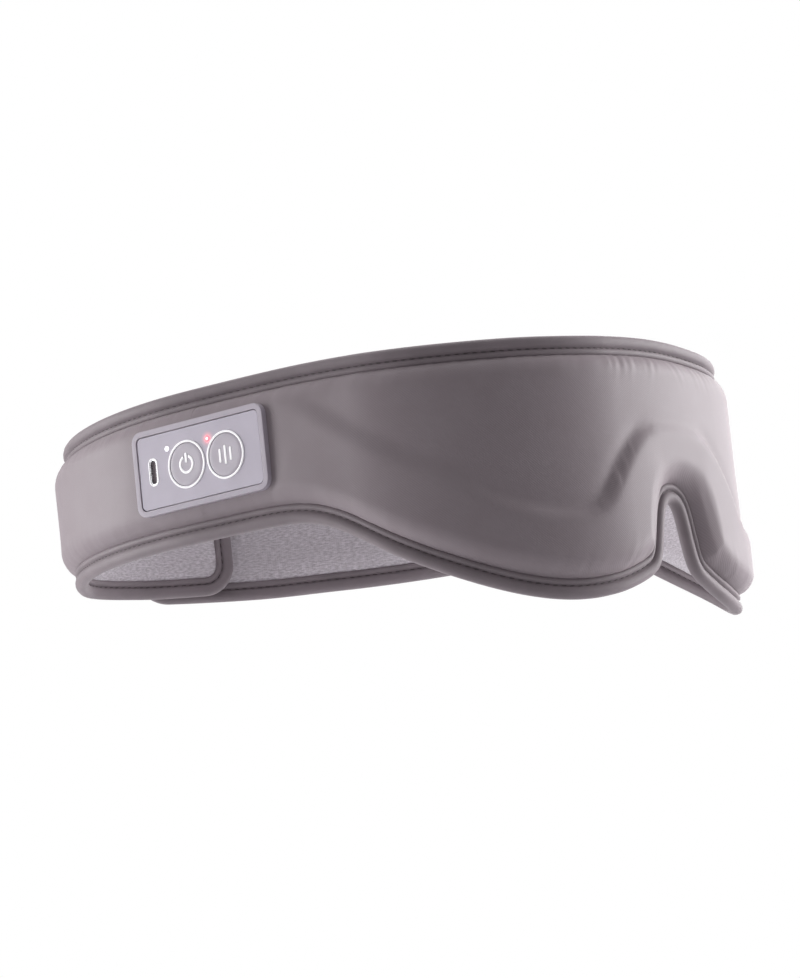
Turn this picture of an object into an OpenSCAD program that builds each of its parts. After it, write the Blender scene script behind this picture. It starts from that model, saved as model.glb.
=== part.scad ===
// Eye massager mask: a padded ring worn round the head, with the control box on the right temple.
// Frame: origin in the middle of the footprint on the table plane, +Z up,
// the wearer faces -Y, the wearer's right side is -X. Sizes in mm.

/* [Band plan] */
// Radius of the band across the middle of the face
brow_radius = 204.6; // [150:0.1:300]
// Angle of that arc on each side of the middle
brow_angle = 8; // [4:0.5:14]
// Radius of the turn from the face to the temple
turn_radius = 64.5; // [50:0.5:80]
// Straight run along the temple
temple_run = 68.5; // [40:0.5:100]
// Radius of the strap behind the temple
strap_radius = 125.6; // [90:0.1:160]
// Angle of the strap arc
strap_angle = 60; // [50:1:70]

/* [Band section] */
// Height of the top edge above the table
top_height = 94; // [80:0.5:110]
// Height of the edge binding
binding_height = 5.6; // [4:0.1:8]
// Half thickness of the edge binding
binding_half = 2.4; // [1.5:0.1:4]
// How far the outer panel stands out at the temples and straps
strap_puff = 6.4; // [4:0.1:10]
// How far the outer panel stands out over the eyes
brow_puff = 5.4; // [4:0.1:10]
// Depth of the padding behind the front and temples
front_pad = 8.2; // [5:0.1:12]
// Depth of the padding behind the straps
strap_pad = 4; // [2.5:0.1:6]
// Thickness of cover and lining
skin = 0.8; // [0.5:0.05:1.5]
// Depth of the hollow in front of each eye
eye_hollow = 4.5; // [2:0.1:6]
// Distance of each eye hollow from the middle, along the band
eye_spacing = 37; // [30:0.5:44]
// Height of the middle of the eye hollows
eye_height = 58; // [50:0.5:66]

/* [Straps] */
// Distance along the band where each strap starts to bend
hinge_at = 232; // [225:1:250]
// How far the right tab runs past the middle of the back
right_overrun = 51; // [30:1:70]
// How far the left strap stops short of the middle of the back
left_shortfall = 15; // [5:0.1:25]
// Corner radius of the strap ends
tab_corner = 12; // [8:0.5:16]

/* [Control box] */
// Distance along the band to the middle of the box
box_at = 184.8; // [175:0.1:195]
// Length of the box along the band
box_length = 60.2; // [50:0.1:70]
// Height of the box
box_height = 30.2; // [25:0.1:36]
// Corner radius of the box
box_corner = 4; // [2:0.1:6]
// Height of the middle of the box above the table
box_level = 67.3; // [60:0.1:75]
// Diameter of the button rings
ring_size = 16.5; // [14:0.1:18]
// Diameter of the button caps
cap_size = 15.1; // [12:0.1:17]
// Travel of the buttons
press_depth = 0.35; // [0.2:0.05:0.6]

/* [Hidden] */
gap = 0.05;
deg = PI / 180;
turn_angle = 90 - brow_angle;
back_angle = 90 - strap_angle;
s_brow = brow_radius * brow_angle * deg;
s_turn = s_brow + turn_radius * turn_angle * deg;
s_run = s_turn + temple_run;
s_strap = s_run + strap_radius * strap_angle * deg;
x_brow = brow_radius * sin(brow_angle);
half_width = x_brow + turn_radius * (1 - sin(brow_angle));
back_radius = (half_width - strap_radius * (1 - cos(strap_angle))) / cos(strap_angle);
s_half = s_strap + back_radius * back_angle * deg;
depth_brow = brow_radius * (1 - cos(brow_angle));
depth_turn = depth_brow + turn_radius * cos(brow_angle);
depth_run = depth_turn + temple_run;
depth_strap = depth_run + strap_radius * sin(strap_angle);
plan_depth = depth_strap + back_radius * (1 - sin(strap_angle));
front_y = -plan_depth / 2 + 1.2;
shift_x = 0.9;
fn = 48;

// Lower edge of the band: distance along the band from the middle of the nose, height.
lower_edge = [
    [-20, 7.5], [-11, 11], [-8, 18], [-6, 28.5], [-3, 34], [0, 34.8], [3, 34], [6, 28.5], [8, 18],
    [11, 11], [20, 7.5], [30, 3], [37, 1.1], [50, -0.2], [62, 0.9], [75, 4.3], [88, 9.6],
    [102, 16.3], [116, 24], [128, 32], [140, 38], [151, 40], [163, 40.4], [195, 40.4], [242, 41],
    [300, 42], [420, 44]
];
// Dip of the upper edge below its full height, over the face.
upper_dip = [
    [-12, 2], [0, 1.8], [12, 2], [30, 2.8], [45, 3.5], [78, 3.6], [92, 3.2], [106, 2.6],
    [120, 1.6], [135, 0.7], [150, 0.2], [170, 0], [420, 0]
];

// Line over the nose, under the eye and up to the temple, where the padding changes level.
crest = [
    [0, 60], [12, 59.2], [18, 57.3], [24, 53], [31, 45], [36, 36.5], [40, 31], [46, 28.6],
    [55, 28.6], [63, 30.2], [75, 34.6], [89, 45.6], [101, 52], [113, 60], [127, 70], [140, 78.6],
    [160, 86], [420, 86]
];
// Change of level below that line: out at nose and cheek, in at the temple.
crest_step = [
    [0, 2.2], [36, 2.4], [68, 2.4], [86, 0], [101, -1.3], [127, -1.3], [142, -0.7], [165, 0],
    [420, 0]
];
crest_width = 7;

function smooth(t) = let(c = max(0, min(1, t))) c * c * (3 - 2 * c);
function mix(a, b, t) = a + (b - a) * t;
function edge(s) = (lookup(s - 5, lower_edge) + 2 * lookup(s - 2.5, lower_edge)
    + 3 * lookup(s, lower_edge) + 2 * lookup(s + 2.5, lower_edge)
    + lookup(s + 5, lower_edge)) / 9;
function top(s) = top_height - (lookup(s - 6, upper_dip) + 2 * lookup(s, upper_dip)
    + lookup(s + 6, upper_dip)) / 4;
// Inward normal of the lower edge, with the slope taken over h each way.
function edge_normal(s, h = 1) = let(m = s == 0 ? 0 : (edge(s + h) - edge(s - h)) / (2 * h),
    q = sqrt(1 + m * m)) [-m / q, 1 / q];

// Plan of one half: [x, y, heading] at a distance along the band from the middle of the face.
function half_plan(s) =
    s <= s_brow ? let(a = s / brow_radius / deg)
        [brow_radius * sin(a), brow_radius * (1 - cos(a)), a] :
    s <= s_turn ? let(a = brow_angle + (s - s_brow) / turn_radius / deg)
        [x_brow + turn_radius * (sin(a) - sin(brow_angle)),
         depth_brow + turn_radius * (cos(brow_angle) - cos(a)), a] :
    s <= s_run ? [half_width, depth_turn + s - s_turn, 90] :
    s <= s_strap ? let(a = (s - s_run) / strap_radius / deg)
        [half_width - strap_radius * (1 - cos(a)), depth_run + strap_radius * sin(a), 90 + a] :
    let(a = strap_angle + (s - s_strap) / back_radius / deg)
        [back_radius * cos(a), depth_strap + back_radius * (sin(a) - sin(strap_angle)), 90 + a];
function plan(s) = s <= s_half ? half_plan(s) :
    let(p = half_plan(2 * s_half - s)) [-p[0], p[1], 360 - p[2]];
// A point of the band: side -1 right or 1 left, distance along it, distance outward, height.
function at(side, s, n, z) = let(k = s < 0 ? -side : side, p = plan(abs(s)))
    [k * (p[0] + n * sin(p[2])) + shift_x, front_y + p[1] - n * cos(p[2]), z];

// Rows of a section: how far past the binding, and how much of the puff is reached there.
rows = [[0, 0], [2.8, 0.1], [4.6, 0.7], [8.5, 1]];
mids = [0.25, 0.5, 0.75];

// One column of the panel grid on the front: [distance along, height, puff].
function front_column(s) = let(k = s < 0 ? -1 : 1, a = abs(s), n = edge_normal(a),
    w = edge_normal(a, 9), d = binding_height + gap,
    low = [for (r = rows)
        [a + n[0] * d + w[0] * r[0], edge(a) + n[1] * d + w[1] * r[0], r[1]]],
    high = [for (i = [3:-1:0]) [a, top(a) - d - rows[i][0], rows[i][1]]],
    all = concat(low, [for (m = mids) [mix(low[3][0], a, m), mix(low[3][1], high[0][1], m), 1]],
        high))
    [for (q = all) [k * q[0], q[1], q[2]]];
function front_out(s, z, w) = let(a = abs(s),
    puff = mix(brow_puff, strap_puff, smooth((a - 118) / 50)),
    low = smooth((lookup(a, crest) - z) / crest_width + 0.5))
    mix(binding_half, puff + low * lookup(a, crest_step), w);
function front_in(s, z, w) = let(a = abs(s),
    pad = mix(front_pad, strap_pad, smooth((a - 217) / 14)),
    r = norm([(a - eye_spacing) / 30, (z - eye_height) / 22]),
    hollow = eye_hollow * smooth((1 - r) / 0.45))
    -mix(binding_half, pad - hollow, w);

half_stations = concat([0, 2, 4, 6, 8, 10, 12.5, 16, 21],
    [for (i = [1:19]) 21 + i * (hinge_at - 41.8) / 20],
    [hinge_at - 15, hinge_at - 8, hinge_at - 0.2]);
front_stations = concat([for (i = [len(half_stations) - 1:-1:1]) -half_stations[i]], half_stations);

// Strap ends: the panel stops inside the end binding, with rounded corners.
function strap_end(side) = side < 0 ? s_half + right_overrun : s_half - left_shortfall;
function strap_stations(side) = let(e = strap_end(side), c = e - tab_corner,
    r = tab_corner - binding_height - gap, m = floor((c - hinge_at) / 8))
    concat([for (i = [0:m]) mix(hinge_at + 0.2, c, i / m)],
        [for (a = [20, 40, 60, 80, 90]) c + r * sin(a)]);
function strap_column(side, s) = let(e = strap_end(side), c = e - tab_corner,
    r = tab_corner - binding_height - gap,
    lift = s > c ? tab_corner - sqrt(max(0, r * r - (s - c) * (s - c))) : binding_height + gap,
    room = (e - binding_height - gap - s),
    fade = lookup(room, rows) / 1)
    concat([for (r = rows) [s, edge(s) + lift + r[0], min(r[1], fade)]],
        [for (i = [3:-1:0]) [s, top(s) - lift - rows[i][0], min(rows[i][1], fade)]]);
// The right tab passes inside, the left end outside.
function strap_shift(side, s) = side < 0 ? -5.1 * smooth((s - 318) / 34)
    : 4.1 * smooth((s - 252) / 32);
function strap_thin(side, s) = side < 0 ? smooth((s - 318) / 34) : smooth((s - 252) / 32);
function strap_out(side, s, w) = strap_shift(side, s)
    + mix(binding_half, mix(strap_puff, 3.4, strap_thin(side, s)), w);
function strap_in(side, s, w) = strap_shift(side, s)
    - mix(binding_half, mix(strap_pad, side < 0 ? 3.4 : 2.6, strap_thin(side, s)), w);

// A closed solid between two grids of points, outer and inner.
module sheet_solid(outer, inner, flip = false) {
    a = len(outer);
    b = len(outer[0]);
    t = a * b;
    points = concat([for (c = outer) each c], [for (c = inner) each c]);
    quads = concat(
        [for (i = [0:a - 2]) for (j = [0:b - 2])
            [i * b + j, i * b + j + 1, (i + 1) * b + j + 1, (i + 1) * b + j]],
        [for (i = [0:a - 2]) for (j = [0:b - 2])
            [t + i * b + j, t + (i + 1) * b + j, t + (i + 1) * b + j + 1, t + i * b + j + 1]],
        [for (i = [0:a - 2]) [i * b, (i + 1) * b, t + (i + 1) * b, t + i * b]],
        [for (i = [0:a - 2]) [t + i * b + b - 1, t + (i + 1) * b + b - 1,
            (i + 1) * b + b - 1, i * b + b - 1]],
        [for (j = [0:b - 2]) [j, t + j, t + j + 1, j + 1]],
        [for (j = [0:b - 2]) let(p = (a - 1) * b) [p + j, p + j + 1, t + p + j + 1, t + p + j]]);
    tris = [for (q = quads) each [[q[0], q[1], q[2]], [q[0], q[2], q[3]]]];
    polyhedron(points = points, faces = flip ? [for (f = tris) [f[2], f[1], f[0]]] : tris);
}

// One layer of the front, between two distances outward.
module front_layer(kind) {
    outer = [for (s = front_stations) [for (q = front_column(s)) let(
        o = front_out(q[0], q[1], q[2]), i = front_in(q[0], q[1], q[2]))
        at(1, q[0], kind == 0 ? o : kind == 1 ? o - skin - 0.9 : i + skin, q[1])]];
    inner = [for (s = front_stations) [for (q = front_column(s)) let(
        o = front_out(q[0], q[1], q[2]), i = front_in(q[0], q[1], q[2]))
        at(1, q[0], kind == 0 ? o - skin : kind == 1 ? i + skin + 0.9 : i, q[1])]];
    sheet_solid(outer, inner);
}
module strap_layer(side, kind) {
    outer = [for (s = strap_stations(side)) [for (q = strap_column(side, s)) let(
        o = strap_out(side, q[0], q[2]), i = strap_in(side, q[0], q[2]))
        at(side, q[0], kind == 0 ? o : kind == 1 ? o - skin - gap : i + skin, q[1])]];
    inner = [for (s = strap_stations(side)) [for (q = strap_column(side, s)) let(
        o = strap_out(side, q[0], q[2]), i = strap_in(side, q[0], q[2]))
        at(side, q[0], kind == 0 ? o - skin : kind == 1 ? i + skin + gap : i, q[1])]];
    sheet_solid(outer, inner, side < 0);
}

// Edge binding: a rounded bead along a path of [distance, height, normal along, normal up, shift].
bead = [[-1, 1], [-1, 0.4], [-0.66, 0.12], [0, 0], [0.66, 0.12], [1, 0.4], [1, 1]];
module bead_sweep(side, path, flip = false) {
    a = len(path);
    b = len(bead);
    points = [for (p = path) for (c = bead)
        at(side, p[0] + p[2] * c[1] * binding_height, p[4] + c[0] * binding_half,
            p[1] + p[3] * c[1] * binding_height)];
    quads = [for (i = [0:a - 2]) for (j = [0:b - 1]) let(k = (j + 1) % b)
        [i * b + j, i * b + k, (i + 1) * b + k, (i + 1) * b + j]];
    tris = concat([for (q = quads) each [[q[0], q[1], q[2]], [q[0], q[2], q[3]]]],
        [for (j = [1:b - 2]) [0, j + 1, j]],
        [for (j = [1:b - 2]) let(p = (a - 1) * b) [p, p + j, p + j + 1]]);
    polyhedron(points = points, faces = flip ? [for (f = tris) [f[2], f[1], f[0]]] : tris);
}
module front_bead(top) {
    path = [for (s = front_stations) let(k = s < 0 ? -1 : 1, n = edge_normal(abs(s)))
        top ? [s, top(abs(s)), 0, -1, 0] : [s, edge(abs(s)), k * n[0], n[1], 0]];
    bead_sweep(1, path, !top);
}
function strap_path(side) = let(e = strap_end(side), c = e - tab_corner,
    m = floor((c - hinge_at) / 8), run = [for (i = [0:m]) mix(hinge_at + 0.2, c, i / m)])
    concat([for (s = run) [s, edge(s), 0, 1, strap_shift(side, s)]],
        [for (a = [20, 40, 60, 80, 90]) let(s = c + tab_corner * sin(a))
            [s, edge(s) + tab_corner * (1 - cos(a)), -sin(a), cos(a), strap_shift(side, s)]],
        [for (a = [90, 80, 60, 40, 20]) let(s = c + tab_corner * sin(a))
            [s, top(s) - tab_corner * (1 - cos(a)), -sin(a), -cos(a), strap_shift(side, s)]],
        [for (i = [m:-1:0]) let(s = run[i]) [s, top(s), 0, -1, strap_shift(side, s)]]);

// A thin layer lying against the lining: stations a to b of one side, between two rows.
module lining_strip(side, a, b, r0, r1, f0, f1, lift, thick) {
    cols = side > 0 ? [for (i = [a:b]) half_stations[i]] : [for (i = [b:-1:a]) -half_stations[i]];
    grid = [for (s = cols) let(c = [for (q = front_column(s)) [q[0], q[1], front_in(q[0], q[1], 1)]])
        r0 < r1 ? [for (r = [r0:r1]) c[r]] : [for (f = [f0, f1]) c[r0] + (c[r0 + 1] - c[r0]) * f]];
    sheet_solid([for (c = grid) [for (q = c) at(1, q[0], q[2] + skin + lift + thick, q[1])]],
        [for (c = grid) [for (q = c) at(1, q[0], q[2] + skin + lift, q[1])]]);
}
// A thin patch on a strap end.
module strap_patch(side, s0, s1, z0, z1, n0, n1) {
    cols = [for (i = [0:5]) mix(s0, s1, i / 5)];
    sheet_solid([for (s = cols) [for (z = [z0, z1]) at(side, s, n1, z)]],
        [for (s = cols) [for (z = [z0, z1]) at(side, s, n0, z)]], side < 0);
}

// Control box frame: x to the front, y up, z outward, on the chord under the box.
box_rear = at(-1, box_at + box_length / 2, 0, box_level);
box_nose = at(-1, box_at - box_length / 2, 0, box_level);
box_mid = (box_rear + box_nose) / 2;
box_turn = atan2(box_nose[1] - box_rear[1], box_nose[0] - box_rear[0]);
module on_box() translate(box_mid) rotate([0, 0, box_turn]) rotate([90, 0, 0])
    children();

module slab(w, h, r, z0, z1) {
    translate([-w / 2 + r, -h / 2, z0]) cube([w - 2 * r, h, z1 - z0]);
    translate([-w / 2, -h / 2 + r, z0]) cube([w, h - 2 * r, z1 - z0]);
    for (x = [-1, 1]) for (y = [-1, 1])
        translate([x * (w / 2 - r), y * (h / 2 - r), z0]) cylinder(r = r, h = z1 - z0, $fn = fn);
}
module slot(w, h, z0, z1) {
    translate([-w / 2, -h / 2 + w / 2, z0]) cube([w, h - w, z1 - z0]);
    for (y = [-1, 1]) translate([0, y * (h - w) / 2, z0])
        cylinder(d = w, h = z1 - z0, $fn = fn);
}
module disc(x, y, d, z0, z1) translate([x, y, z0]) cylinder(d = d, h = z1 - z0, $fn = fn);

power_at = [-5.9, 0];
mode_at = [12, 0];
usb_at = [-21.4, 0];
charge_at = [-14.3, 7];
mode_light_at = [4.5, 7];
posts = [for (x = [-24.4, 24.4]) for (y = [-9.3, 9.3]) [x, y]];
floor_z = -5.4;
step_z = -2.4;
tub_height = 24.6;
board_z = -0.8;
deck_z = 0.2;
ledge_z = 6.1;
plate_z = 6.6;
face_z = 8.1;
rim_z = 8.4;

module box_pocket(z0, z1) on_box() slab(box_length + 0.7, box_height + 0.7, box_corner + 0.3, z0, z1);
motor_at = [for (k = [-1, 1]) for (d = [-8, 8]) k * (eye_spacing + d)];
motor_base = -(front_pad - eye_hollow) + skin + 0.46;
module at_motor(i) let(s = motor_at[i], p = at(1, s, 0, eye_height), h = plan(abs(s))[2])
    translate(p) rotate([0, 0, s < 0 ? -h : h]) rotate([90, 0, 0]) children();

module front_cover() color("#9d8a92") difference() {
    front_layer(0);
    box_pocket(-2, 20);
}
module front_foam() color("#efe9dc") difference() {
    front_layer(1);
    box_pocket(-12, 20);
    for (i = [0:3]) at_motor(i) translate([0, 0, motor_base - 3]) cylinder(d = 10.4, h = 5.85, $fn = fn);
    sensor_place(0.15);
}
module front_lining() color("#c6bfc8") front_layer(2);
module front_top_binding() color("#8f7c84") front_bead(true);
module front_bottom_binding() color("#8f7c84") front_bead(false);

module heating_film_right() color("#c9853b") lining_strip(-1, 6, 12, 4, 7, 0, 0, 0.08, 0.22);
module heating_film_left() color("#c9853b") lining_strip(1, 6, 12, 4, 7, 0, 0, 0.08, 0.22);
module bridge_cable() color("#d8a05a") {
    lining_strip(-1, 0, 6, 6, 6, 0, 0.4, 0.26, 0.14);
    lining_strip(1, 0, 6, 6, 6, 0, 0.4, 0.26, 0.14);
}
module temple_cable() color("#d8a05a") lining_strip(-1, 12, 23, 5, 5, 0.2, 0.7, 0.42, 0.12);
module sensor_place(c) let(s = -20, p = at(1, s, 0, 50), h = plan(abs(s))[2])
    translate(p) rotate([0, 0, -h]) rotate([90, 0, 0])
    translate([-1.6 - c, -1 - c, front_in(s, 50, 1) + skin + 0.6 - 2 * c])
    cube([3.2 + 2 * c, 2 + 2 * c, 1 + 3 * c]);
module temperature_sensor() color("#3a3a40") sensor_place(0);
module motor(i) at_motor(i) translate([0, 0, motor_base]) cylinder(d = 10, h = 2.7, $fn = fn);
module motor_right_outer() color("#b9bdc4") motor(0);
module motor_right_inner() color("#b9bdc4") motor(1);
module motor_left_inner() color("#b9bdc4") motor(2);
module motor_left_outer() color("#b9bdc4") motor(3);

module controller_base() color("#a9a2b0") on_box() difference() {
    union() {
        difference() {
            union() {
                slab(box_length, box_height, box_corner, step_z, ledge_z - gap);
                slab(box_length - 3, tub_height, box_corner - 1.5, floor_z, step_z + 1);
            }
            slab(box_length - 3, box_height - 3, box_corner - 1.5, step_z + 1.2, ledge_z + 1);
            slab(box_length - 5.4, tub_height - 2.4, box_corner - 2.7, floor_z + 1.2, ledge_z + 1);
        }
        for (p = posts) disc(p[0], p[1], 4.6, floor_z + 1, board_z - gap);
    }
    for (p = posts) disc(p[0], p[1], 1.7, floor_z + 1.6, ledge_z);
    translate([21.2, -4, floor_z - 1]) cube([3.8, 7.4, 3]);
}
module controller_bezel() color("#c0b9c8") on_box() difference() {
    slab(box_length, box_height, box_corner, ledge_z, rim_z);
    slab(box_length - 4.2, box_height - 4.2, box_corner - 2, plate_z - 0.03, rim_z + 1);
    slab(box_length - 6.8, box_height - 6.8, 1.2, ledge_z - 1, plate_z + 1);
}
module face_plate() color("#b9b2c2") on_box() difference() {
    slab(box_length - 4.3, box_height - 4.3, box_corner - 2.05, plate_z, face_z);
    for (p = [power_at, mode_at]) disc(p[0], p[1], cap_size + 0.2, plate_z - 1, face_z + 1);
    translate(usb_at) slot(3.36, 9.04, plate_z - 1, face_z + 1);
    for (p = [charge_at, mode_light_at]) disc(p[0], p[1], 1.9, plate_z - 1, face_z + 1);
}
module ring_at(p) on_box() difference() {
    disc(p[0], p[1], ring_size, face_z, face_z + 0.35);
    disc(p[0], p[1], cap_size + 0.2, face_z - 1, face_z + 1);
}
module power_ring() color("#f1eff4") ring_at(power_at);
module mode_ring() color("#f1eff4") ring_at(mode_at);
module cap(p) on_box() {
    disc(p[0], p[1], cap_size, plate_z - 1.2, face_z + 0.1);
    disc(p[0], p[1], ring_size - 0.1, plate_z - 1.2, plate_z - gap);
}
module power_button() color("#beb7c7") cap(power_at);
module mode_button() color("#beb7c7") cap(mode_at);
mark_z = face_z + 0.1;
module power_mark() color("#fafafa") on_box() translate([power_at[0], power_at[1], 0]) {
    difference() {
        disc(0, 0, 6.6, mark_z, mark_z + 0.15);
        disc(0, 0, 4.8, mark_z - 1, mark_z + 1);
        translate([-1.2, 0, mark_z - 1]) cube([2.4, 5, 2]);
    }
    translate([-0.4, 0.6, mark_z]) cube([0.8, 3.4, 0.15]);
}
module mode_mark() color("#fafafa") on_box() translate([mode_at[0], mode_at[1], 0])
    for (i = [-1:1]) translate([i * 2.4 - 0.4, -2.4 - (i == 0 ? 0.9 : 0), mark_z])
        cube([0.8, 4.8 + (i == 0 ? 1.8 : 0), 0.15]);
module charge_light() color("#ffffff") on_box() disc(charge_at[0], charge_at[1], 1.8, 1, face_z + 0.05);
module mode_light() color("#ff4a5a") on_box()
    disc(mode_light_at[0], mode_light_at[1], 1.8, 1, face_z + 0.05);
module light_chip(p) on_box() translate([p[0] - 0.8, p[1] - 0.4, deck_z]) cube([1.6, 0.8, 0.6]);
module charge_light_chip() color("#f4f4e0") light_chip(charge_at);
module mode_light_chip() color("#e04050") light_chip(mode_light_at);
module circuit_board() color("#2c6b45") on_box() difference() {
    slab(54, 24.5, 1, board_z, deck_z);
    for (p = posts) disc(p[0], p[1], 2.1, board_z - 1, deck_z + 1);
}
module board_screws() color("#8d9096") on_box() for (p = posts) {
    disc(p[0], p[1], 1.6, floor_z + 1.9, deck_z + 0.5);
    disc(p[0], p[1], 3.2, deck_z + 0.02, deck_z + 1.2);
}
module switch_at(p) on_box() difference() {
    translate([p[0] - 3, p[1] - 3, deck_z]) cube([6, 6, 2.8]);
    disc(p[0], p[1], 3.4, deck_z + 1.8, deck_z + 4);
}
module power_switch() color("#37373d") switch_at(power_at);
module mode_switch() color("#37373d") switch_at(mode_at);
module plunger(p) on_box() disc(p[0], p[1], 3.2, deck_z + 2.25, plate_z - 1.22);
module power_plunger() color("#e6e2d8") plunger(power_at);
module mode_plunger() color("#e6e2d8") plunger(mode_at);
module usb_c_shell() color("#c9ccd2") on_box() translate(usb_at) difference() {
    slot(3.26, 8.94, deck_z + 0.02, face_z - 0.1);
    slot(2.56, 8.34, deck_z + 0.9, face_z + 1);
}
module usb_c_tongue() color("#26262a") on_box() translate(usb_at)
    translate([-0.35, -3.35, deck_z + 0.92]) cube([0.7, 6.7, 4.4]);
module battery_cell() color("#9aa3ad") on_box() slab(40, 20, 1.5, floor_z + 1.3, board_z - 0.3);
module control_chip() color("#1e1e22") on_box() translate([16.2, -4.4, deck_z]) cube([7, 7, 0.9]);
module cable_plug() color("#f0ead8") on_box() translate([21.4, -3.8, floor_z - 1.1])
    cube([3.4, 7, board_z - gap - floor_z + 1.1]);

module right_strap_cover() color("#9d8a92") strap_layer(-1, 0);
module right_strap_foam() color("#efe9dc") strap_layer(-1, 1);
module right_strap_lining() color("#c6bfc8") strap_layer(-1, 2);
module right_strap_binding() color("#8f7c84") bead_sweep(-1, strap_path(-1), false);
module hook_tape() color("#7d6c74") let(e = strap_end(-1))
    strap_patch(-1, e - 39, e - 15, 58, 78, -1.62, -0.55);
module left_strap_cover() color("#9d8a92") strap_layer(1, 0);
module left_strap_foam() color("#efe9dc") strap_layer(1, 1);
module left_strap_lining() color("#c6bfc8") strap_layer(1, 2);
module left_strap_binding() color("#8f7c84") bead_sweep(1, strap_path(1), true);
module loop_tape() color("#7d6c74") let(e = strap_end(1))
    strap_patch(1, e - 39, e - 15, 57, 79, 0.25, 1.2);

front_cover();
front_foam();
front_lining();
front_top_binding();
front_bottom_binding();
heating_film_right();
heating_film_left();
bridge_cable();
temple_cable();
temperature_sensor();
motor_right_outer();
motor_right_inner();
motor_left_inner();
motor_left_outer();
controller_base();
controller_bezel();
face_plate();
power_ring();
mode_ring();
power_button();
power_mark();
power_plunger();
mode_button();
mode_mark();
mode_plunger();
charge_light();
mode_light();
charge_light_chip();
mode_light_chip();
circuit_board();
board_screws();
power_switch();
mode_switch();
usb_c_shell();
usb_c_tongue();
battery_cell();
control_chip();
cable_plug();
right_strap_cover();
right_strap_foam();
right_strap_lining();
right_strap_binding();
hook_tape();
left_strap_cover();
left_strap_foam();
left_strap_lining();
left_strap_binding();
loop_tape();
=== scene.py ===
# Eye massager mask: a padded band with edge binding, jersey lining, overlapping straps
# and a small control box on the right temple. Lengths in the dictionaries are in mm.
import bpy, bmesh, math
import numpy as np
from mathutils import Vector, Matrix


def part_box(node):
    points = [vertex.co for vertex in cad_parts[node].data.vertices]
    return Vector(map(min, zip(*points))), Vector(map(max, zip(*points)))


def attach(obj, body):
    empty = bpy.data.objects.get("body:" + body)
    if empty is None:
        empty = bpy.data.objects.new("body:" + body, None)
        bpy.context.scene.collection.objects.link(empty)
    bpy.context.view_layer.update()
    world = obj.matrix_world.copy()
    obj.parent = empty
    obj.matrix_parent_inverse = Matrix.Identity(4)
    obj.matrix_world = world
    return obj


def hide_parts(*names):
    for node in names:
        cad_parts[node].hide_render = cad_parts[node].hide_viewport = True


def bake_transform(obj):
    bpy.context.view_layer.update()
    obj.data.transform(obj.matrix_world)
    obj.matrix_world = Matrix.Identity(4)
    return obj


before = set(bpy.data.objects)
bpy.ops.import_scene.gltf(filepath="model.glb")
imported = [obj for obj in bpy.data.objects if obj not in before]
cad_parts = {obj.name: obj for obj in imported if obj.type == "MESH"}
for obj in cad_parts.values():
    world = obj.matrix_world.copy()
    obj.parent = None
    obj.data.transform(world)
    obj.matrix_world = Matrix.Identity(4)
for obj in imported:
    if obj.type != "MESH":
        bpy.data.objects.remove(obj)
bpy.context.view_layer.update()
mm = 0.001

# the line of the band seen from above, and how the edges run
band = dict(browRadius=204.6, browAngle=8.0, turnRadius=64.5, templeRun=68.5, strapRadius=125.6,
            strapAngle=60.0, topHeight=94.0, shiftX=0.9, shiftY=1.2, hingeAt=232.0,
            rightOverrun=51.0, leftShortfall=15.0, tabCorner=12.0, splitAt=188.0)
lowerKnots = [(0, 34.8), (2.2, 34.5), (3.8, 33.3), (4.8, 31.4), (5.5, 29), (6.4, 24.5), (7.4, 20),
              (8.8, 15.5), (10.6, 12.3), (13, 10), (16.5, 8.1), (21.5, 6), (26, 4.4), (31, 2.8), (37, 1.1),
              (50, -0.2), (62, 0.9), (75, 4.3), (88, 9.6), (102, 16.3), (116, 24), (128, 32),
              (140, 38), (151, 40), (163, 40.4), (195, 40.4), (242, 41), (300, 42), (430, 44)]
dipKnots = [(0, 1.8), (12, 2), (30, 2.8), (45, 3.5), (78, 3.6), (92, 3.2), (106, 2.6),
            (120, 1.6), (135, 0.7), (150, 0.2), (170, 0), (430, 0)]

browTurn = math.radians(band["browAngle"])
strapTurn = math.radians(band["strapAngle"])
sBrow = band["browRadius"] * browTurn
sTurn = sBrow + band["turnRadius"] * (math.pi / 2 - browTurn)
sRun = sTurn + band["templeRun"]
sStrap = sRun + band["strapRadius"] * strapTurn
xBrow = band["browRadius"] * math.sin(browTurn)
halfWidth = xBrow + band["turnRadius"] * (1 - math.sin(browTurn))
backRadius = (halfWidth - band["strapRadius"] * (1 - math.cos(strapTurn))) / math.cos(strapTurn)
sHalf = sStrap + backRadius * (math.pi / 2 - strapTurn)
yBrow = band["browRadius"] * (1 - math.cos(browTurn))
yTurn = yBrow + band["turnRadius"] * math.cos(browTurn)
yRun = yTurn + band["templeRun"]
yStrap = yRun + band["strapRadius"] * math.sin(strapTurn)
bandDepth = yStrap + backRadius * (1 - math.sin(strapTurn))
frontY = -bandDepth / 2 + band["shiftY"]
endAt = {1: sHalf - band["leftShortfall"], -1: sHalf + band["rightOverrun"]}
uvScale = 0.01   # cloth patterns are laid out in units of 100 mm


def toObjectMode():
    if bpy.context.object and bpy.context.object.mode != "OBJECT":
        bpy.ops.object.mode_set(mode="OBJECT")


def deselect():
    toObjectMode()
    bpy.ops.object.select_all(action="DESELECT")


def selectOnly(piece):
    deselect()
    bpy.context.view_layer.objects.active = piece
    piece.select_set(True)


def smooth(t):
    t = np.clip(t, 0, 1)
    return t * t * (3 - 2 * t)


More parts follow.
